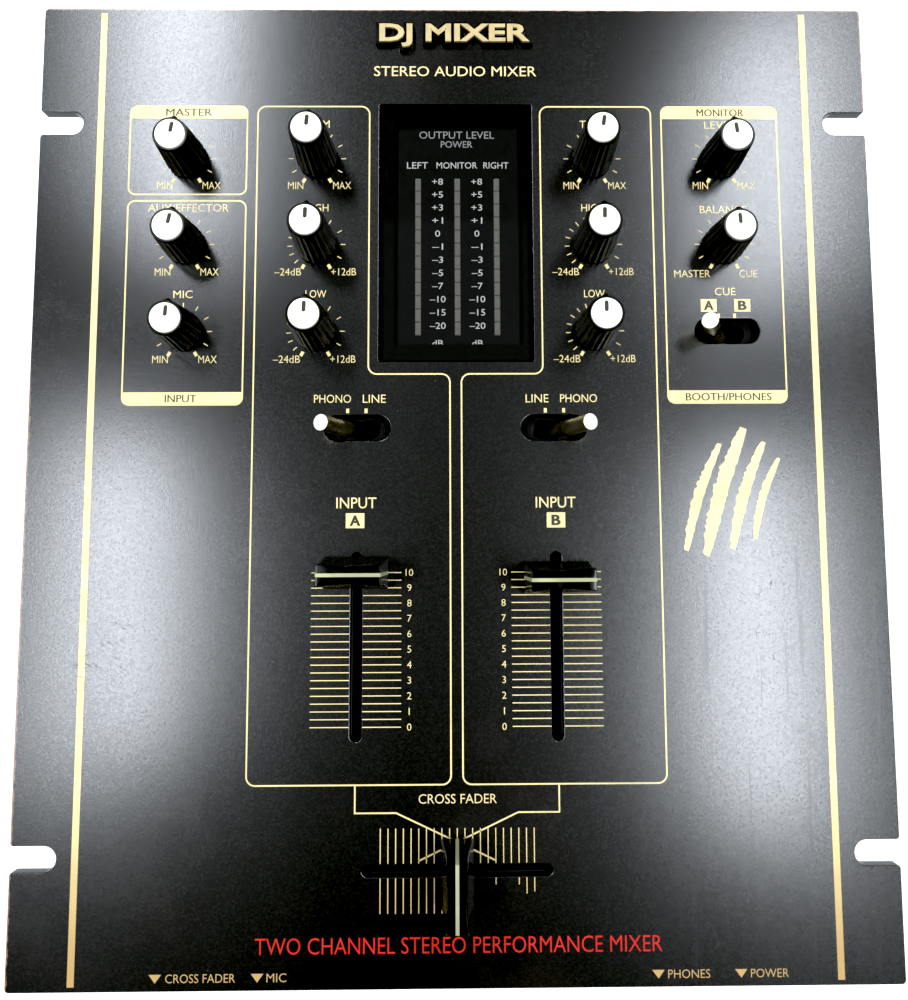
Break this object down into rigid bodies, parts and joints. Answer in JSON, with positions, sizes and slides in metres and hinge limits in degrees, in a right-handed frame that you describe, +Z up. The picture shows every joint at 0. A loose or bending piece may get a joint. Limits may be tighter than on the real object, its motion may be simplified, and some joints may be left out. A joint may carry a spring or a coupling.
{
  "type": "dj mixer",
  "caption": "DJ mixer with a flat black plate, rotary knobs, toggle levers, channel faders and a crossfader over a metal chassis on rubber feet.",
  "frame": {"origin": "on the table, under the centre of the top plate", "axes": "+X to the right, +Y to the rear, +Z up"},
  "size_m": [0.26, 0.298, 0.1066],
  "materials": {
    "plate_paint": "satin black with a fine texture, pale gold print",
    "chassis_paint": "satin black",
    "knob_black": "gloss black",
    "cap_black": "gloss black with a pale line",
    "ivory": "semi-gloss ivory",
    "smoked_lens": "smoked, glossy",
    "meter_grey": "unlit light guides",
    "circuit_board": "solder-masked board",
    "pale_gold": "satin pale gold",
    "satin_chrome": "satin chrome",
    "plated_steel": "zinc plated",
    "felt": "black felt",
    "rubber": "matt black",
    "moulded_black": "moulded black",
    "lamination": "varnished steel laminations"
  },
  "bodies": {
    "mixer": {"top_plate": "plate_paint", "chassis_tray": "chassis_paint", "front_panel": "chassis_paint", "rear_panel": "chassis_paint", "foot_front_left": "rubber", "foot_front_right": "rubber", "foot_rear_left": "rubber", "foot_rear_right": "rubber", "display_lens": "smoked_lens", "meter_light_guide": "meter_grey", "meter_board": "circuit_board", "badge": "pale_gold", "dust_shield_inputs": "felt", "dust_shield_cue": "felt", "fader_housing_channel_a": "plated_steel", "fader_housing_channel_b": "plated_steel", "fader_housing_cross": "plated_steel", "mic_jack": "moulded_black", "phones_jack": "moulded_black", "rca_block": "moulded_black", "rca_sleeves": "plated_steel", "mains_inlet": "moulded_black", "earth_terminal": "plated_steel", "control_board": "circuit_board", "main_board": "circuit_board", "mains_transformer": "lamination"},
    "trim_a_knob": {"knob_trim_a": "knob_black", "insert_trim_a": "ivory"},
    "high_a_knob": {"knob_high_a": "knob_black", "insert_high_a": "ivory"},
    "low_a_knob": {"knob_low_a": "knob_black", "insert_low_a": "ivory"},
    "trim_b_knob": {"knob_trim_b": "knob_black", "insert_trim_b": "ivory"},
    "high_b_knob": {"knob_high_b": "knob_black", "insert_high_b": "ivory"},
    "low_b_knob": {"knob_low_b": "knob_black", "insert_low_b": "ivory"},
    "master_level_knob": {"knob_master_level": "knob_black", "insert_master_level": "ivory"},
    "aux_level_knob": {"knob_aux_level": "knob_black", "insert_aux_level": "ivory"},
    "mic_level_knob": {"knob_mic_level": "knob_black", "insert_mic_level": "ivory"},
    "monitor_level_knob": {"knob_monitor_level": "knob_black", "insert_monitor_level": "ivory"},
    "monitor_balance_knob": {"knob_monitor_balance": "knob_black", "insert_monitor_balance": "ivory"},
    "select_a_toggle": {"lever_select_a": "satin_chrome"},
    "select_b_toggle": {"lever_select_b": "satin_chrome"},
    "cue_select_toggle": {"lever_cue_select": "satin_chrome"},
    "channel_a_fader": {"fader_cap_channel_a": "cap_black", "fader_carriage_channel_a": "plated_steel"},
    "channel_b_fader": {"fader_cap_channel_b": "cap_black", "fader_carriage_channel_b": "plated_steel"},
    "cross_fader": {"fader_cap_cross": "cap_black", "fader_carriage_cross": "plated_steel"},
    "power_push": {"power_button": "moulded_black"},
    "reverse_slider": {"reverse_switch_lever": "moulded_black"}
  },
  "joints": [
    {"name": "trim_a_turn", "type": "hinge", "parent": "mixer", "child": "trim_a_knob", "pos_m": [-0.0431, 0.0994, 0.089], "axis": [0, 0, 1], "range_deg": [-150, 150]},
    {"name": "high_a_turn", "type": "hinge", "parent": "mixer", "child": "high_a_knob", "pos_m": [-0.0431, 0.0717, 0.089], "axis": [0, 0, 1], "range_deg": [-150, 150]},
    {"name": "low_a_turn", "type": "hinge", "parent": "mixer", "child": "low_a_knob", "pos_m": [-0.0431, 0.0442, 0.089], "axis": [0, 0, 1], "range_deg": [-150, 150]},
    {"name": "trim_b_turn", "type": "hinge", "parent": "mixer", "child": "trim_b_knob", "pos_m": [0.0431, 0.0994, 0.089], "axis": [0, 0, 1], "range_deg": [-150, 150]},
    {"name": "high_b_turn", "type": "hinge", "parent": "mixer", "child": "high_b_knob", "pos_m": [0.0431, 0.0717, 0.089], "axis": [0, 0, 1], "range_deg": [-150, 150]},
    {"name": "low_b_turn", "type": "hinge", "parent": "mixer", "child": "low_b_knob", "pos_m": [0.0431, 0.0442, 0.089], "axis": [0, 0, 1], "range_deg": [-150, 150]},
    {"name": "master_level_turn", "type": "hinge", "parent": "mixer", "child": "master_level_knob", "pos_m": [-0.0838, 0.0994, 0.089], "axis": [0, 0, 1], "range_deg": [-150, 150]},
    {"name": "aux_level_turn", "type": "hinge", "parent": "mixer", "child": "aux_level_knob", "pos_m": [-0.0838, 0.0717, 0.089], "axis": [0, 0, 1], "range_deg": [-150, 150]},
    {"name": "mic_level_turn", "type": "hinge", "parent": "mixer", "child": "mic_level_knob", "pos_m": [-0.0838, 0.0442, 0.089], "axis": [0, 0, 1], "range_deg": [-150, 150]},
    {"name": "monitor_level_turn", "type": "hinge", "parent": "mixer", "child": "monitor_level_knob", "pos_m": [0.0838, 0.0994, 0.089], "axis": [0, 0, 1], "range_deg": [-150, 150]},
    {"name": "monitor_balance_turn", "type": "hinge", "parent": "mixer", "child": "monitor_balance_knob", "pos_m": [0.0838, 0.0717, 0.089], "axis": [0, 0, 1], "range_deg": [-150, 150]},
    {"name": "select_a_tilt", "type": "hinge", "parent": "mixer", "child": "select_a_toggle", "pos_m": [-0.03, 0.0141, 0.079], "axis": [0, 1, 0], "range_deg": [0, 48]},
    {"name": "select_b_tilt", "type": "hinge", "parent": "mixer", "child": "select_b_toggle", "pos_m": [0.03, 0.0141, 0.079], "axis": [0, -1, 0], "range_deg": [0, 48]},
    {"name": "cue_select_tilt", "type": "hinge", "parent": "mixer", "child": "cue_select_toggle", "pos_m": [0.0842, 0.0441, 0.079], "axis": [0, 1, 0], "range_deg": [0, 48]},
    {"name": "channel_a_fader_slide", "type": "slide", "parent": "mixer", "child": "channel_a_fader", "axis": [0, 1, 0], "range_m": [-0.04441, 0.00059]},
    {"name": "channel_b_fader_slide", "type": "slide", "parent": "mixer", "child": "channel_b_fader", "axis": [0, 1, 0], "range_m": [-0.04281, 0.00219]},
    {"name": "cross_fader_slide", "type": "slide", "parent": "mixer", "child": "cross_fader", "axis": [1, 0, 0], "range_m": [-0.0225, 0.0225]},
    {"name": "power_press", "type": "slide", "parent": "mixer", "child": "power_push", "axis": [0, 1, 0], "range_m": [0, 0.003], "stiffness_N_per_m": 300},
    {"name": "reverse_slide", "type": "slide", "parent": "mixer", "child": "reverse_slider", "axis": [1, 0, 0], "range_m": [0, 0.004]}
  ]
}
